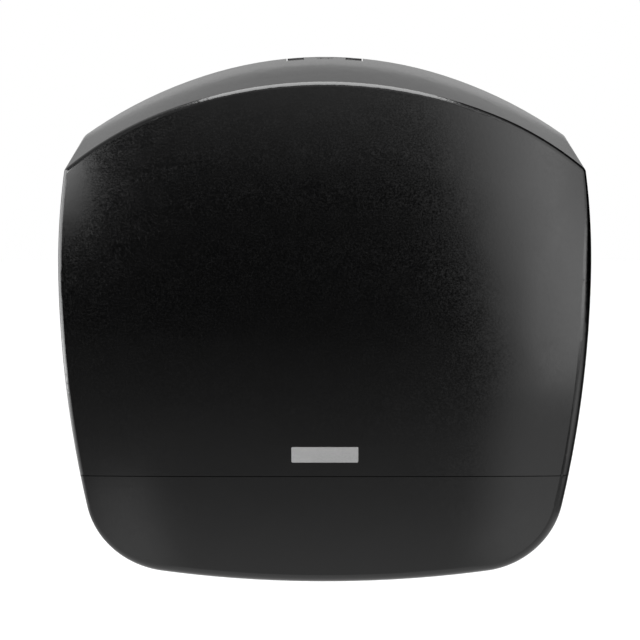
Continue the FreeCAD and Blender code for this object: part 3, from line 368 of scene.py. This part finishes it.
def soften(lamp, edges):
    """Let a lamp fade out towards its edges, each by a share of its width."""
    lamp.use_nodes = True
    nodes = lamp.node_tree.nodes
    links = lamp.node_tree.links
    place = nodes.new("ShaderNodeNewGeometry")
    split = nodes.new("ShaderNodeSeparateXYZ")
    links.new(place.outputs["Parametric"], split.inputs["Vector"])
    strength = nodes.new("ShaderNodeMath")
    strength.operation = "MULTIPLY"
    for number, share in enumerate(edges):
        aside = nodes.new("ShaderNodeMath")
        aside.operation = "SUBTRACT"
        aside.inputs[1].default_value = HALF_WIDTH
        links.new(split.outputs["XY"[number]], aside.inputs[0])
        far = nodes.new("ShaderNodeMath")
        far.operation = "ABSOLUTE"
        links.new(aside.outputs["Value"], far.inputs[0])
        faded = nodes.new("ShaderNodeMapRange")
        faded.inputs["From Min"].default_value = HALF_WIDTH
        faded.inputs["From Max"].default_value = HALF_WIDTH - LEAST_FADE - share
        links.new(far.outputs["Value"], faded.inputs["Value"])
        links.new(faded.outputs["Result"], strength.inputs[number])
    links.new(strength.outputs["Value"], nodes["Emission"].inputs["Strength"])


def soft_lamp(
    name, place, towards, size, radiance, lean=0.0, edges=(0.0, 0.0), shape="RECTANGLE", plain=False
):
    """A lamp with a stated radiance, turned about its own axis by lean, in degrees.

    It shows only in the gloss, and a plain one lights only the rest.
    """
    lamp = bpy.data.lights.new(name, "AREA")
    lamp.shape = shape
    lamp.size, lamp.size_y = size
    lamp.energy = radiance * math.pi * (size[0] * size[1] * SHAPE_FILL[shape])
    if max(edges) > 0.0:
        soften(lamp, edges)
    holder = bpy.data.objects.new(name, lamp)
    holder.location = place
    facing = Vector(towards).to_track_quat("-Z", "Y")
    holder.rotation_euler = (facing @ Quaternion(UP, math.radians(lean))).to_euler()
    holder.visible_camera = False
    holder.visible_glossy = not plain
    holder.visible_diffuse = plain
    bpy.context.scene.collection.objects.link(holder)


soft_lamp("overhead_box", (0.0, -0.36, 1.2), DOWN, size=(0.96, 1.65), radiance=7.5)
soft_lamp("rear_box", (0.0, 1.05, 1.2), DOWN, size=(0.96, 1.17), radiance=3.6)

# Light from the left: a soft box in front, mirrored at the upper left of the face, and a
# larger one at the side, mirrored in the rounded edge.
TO_REAR = (0.0, 1.0, 0.0)
soft_lamp(
    "left_box", (-0.92, -1.72, 0.16), TO_REAR, size=(0.96, 0.64), radiance=9.5, edges=(0.094, 0.35)
)
soft_lamp("side_box", (-1.2, -0.41, 0.1), (1.0, 0.27, 0.0), size=(1.5, 1.04), radiance=6.0)

# Light from the right: a soft wash and two boxes beyond it. They make the long pale band on
# the right of the face.
FROM_RIGHT = (-0.57, 0.82, 0.0)
soft_lamp(
    "right_wash",
    (0.428, -1.74, -0.03),
    TO_REAR,
    size=(0.5, 1.1),
    radiance=3.3,
    lean=15.0,
    edges=(0.5, 0.1),
)
soft_lamp(
    "right_box", (1.11, -1.3, 0.53), FROM_RIGHT, size=(1.42, 1.9), radiance=1.4, edges=(0.1, 0.0)
)
soft_lamp(
    "right_low_box",
    (0.94, -1.42, -0.25),
    FROM_RIGHT,
    size=(0.95, 0.36),
    radiance=3.0,
    edges=(0.1, 0.3),
)

# Glow from below: pale patches close above the floor. The lower half of the face mirrors
# them, and so does the rounded edge at both sides.
PATCH_GAP = 0.005
PATCH_Z = FLOOR_Z + PATCH_GAP
soft_lamp(
    "right_glow",
    (0.34, -1.16, PATCH_Z),
    UP,
    size=(0.27, 1.1),
    radiance=0.74,
    lean=-8.5,
    edges=(0.22, 0.04),
)
soft_lamp(
    "far_glow",
    (0.5, -1.56, PATCH_Z + PATCH_GAP),
    UP,
    size=(0.36, 0.44),
    radiance=1.7,
    lean=-8.5,
    edges=(0.3, 0.25),
)
soft_lamp(
    "left_floor", (-1.25, -0.2, PATCH_Z), UP, size=(1.4, 1.9), radiance=4.2, edges=(0.5, 0.15)
)
soft_lamp(
    "right_floor", (1.2, -0.75, PATCH_Z), UP, size=(1.2, 1.6), radiance=1.7, edges=(0.1, 0.5)
)
soft_lamp(
    "left_glow",
    (-0.225, -0.77, PATCH_Z),
    UP,
    size=(0.13, 0.46),
    radiance=0.5,
    lean=12.0,
    edges=(0.3, 0.2),
)

# Halo: a dim oval lamp that stands close behind the dispenser and reaches past its outline.
# The gloss mirrors it where the cover turns away towards the wall.
TO_FRONT = (0.0, -1.0, 0.0)
soft_lamp(
    "halo", (0.0, 0.017, -0.117), TO_FRONT, size=(0.528, 0.545), radiance=0.28, shape="ELLIPSE"
)

# Plain light: two soft lamps that light all matt surfaces and show in no reflection, one
# overhead and one in front.
soft_lamp(
    "plain_overhead", (-0.2, -0.4, 1.5), (0.1, 0.2, -1.0), size=(1.0, 1.0), radiance=4.0, plain=True
)
soft_lamp(
    "plain_front", (-0.3, -2.2, 0.7), (0.12, 1.0, -0.3), size=(1.6, 1.2), radiance=2.6, plain=True
)

# Surround: white at the left, bright in front above the horizon, half as bright overhead,
# dim behind and dark at the right. The camera sees it as plain white.
WHITE = (1.0, 1.0, 1.0, 1.0)
world = bpy.data.worlds.new("surround")
bpy.context.scene.world = world
world.use_nodes = True
nodes = world.node_tree.nodes
links = world.node_tree.links
direction = nodes.new("ShaderNodeTexCoord")
split = nodes.new("ShaderNodeSeparateXYZ")
links.new(direction.outputs["Generated"], split.inputs["Vector"])


def fade(axis, start, end, low=0.0, high=1.0):
    """Smooth change of the surround along an axis."""
    ramp = nodes.new("ShaderNodeMapRange")
    ramp.interpolation_type = "SMOOTHSTEP"
    ramp.inputs["From Min"].default_value = start
    ramp.inputs["From Max"].default_value = end
    ramp.inputs["To Min"].default_value = low
    ramp.inputs["To Max"].default_value = high
    links.new(split.outputs[axis], ramp.inputs["Value"])
    return ramp.outputs["Result"]


def combine(operation, first, second):
    """Two values of the surround made into one."""
    total = nodes.new("ShaderNodeMath")
    total.operation = operation
    links.new(first, total.inputs[0])
    links.new(second, total.inputs[1])
    return total.outputs["Value"]


left_side = combine(
    "MULTIPLY", fade("X", start=-0.15, end=-0.45), fade("Y", start=-0.5, end=-0.1)
)
rear = combine(
    "MULTIPLY", fade("X", start=0.36, end=0.22), fade("Y", start=0.55, end=0.95, high=0.3)
)
above = combine(
    "MULTIPLY", fade("X", start=0.9, end=0.3), fade("Z", start=-0.085, end=0.06, low=0.03, high=0.9)
)
less_left = fade("X", start=-0.18, end=0.0, low=0.6)
ahead = fade("Y", start=0.2, end=-0.2)
front_above = combine("MULTIPLY", combine("MULTIPLY", above, less_left), ahead)
surround = combine("MAXIMUM", left_side, combine("MAXIMUM", rear, front_above))
path = nodes.new("ShaderNodeLightPath")
choose = nodes.new("ShaderNodeMix")
choose.data_type = "FLOAT"
links.new(path.outputs["Is Camera Ray"], choose.inputs["Factor"])
links.new(surround, choose.inputs["A"])
choose.inputs["B"].default_value = 1.0
background = nodes["Background"]
links.new(choose.outputs["Result"], background.inputs["Strength"])
background.inputs["Color"].default_value = WHITE

# Camera: a long lens a little above the dispenser, as in the photograph. The picture shows
# its colours as they are lit.
LOOK_AT = Vector((-0.0031, -0.133, -0.005))
CAMERA_RISE = math.radians(12.5)
CAMERA_DISTANCE = 1.37
SENSOR_WIDTH = 36.0
LENS_PIXELS = 2182.0
PICTURE_PIXELS = 640.0
NEAREST_SEEN = 0.05
eye = bpy.data.cameras.new("camera")
eye.sensor_width = SENSOR_WIDTH
eye.lens = SENSOR_WIDTH * LENS_PIXELS / PICTURE_PIXELS
eye.clip_start = NEAREST_SEEN
camera = bpy.data.objects.new("camera", eye)
back = Vector((0.0, -math.cos(CAMERA_RISE), math.sin(CAMERA_RISE)))
camera.location = LOOK_AT + back * CAMERA_DISTANCE
camera.rotation_euler = (-back).to_track_quat("-Z", "Y").to_euler()
bpy.context.scene.collection.objects.link(camera)
bpy.context.scene.camera = camera
bpy.context.scene.view_settings.view_transform = "Standard"
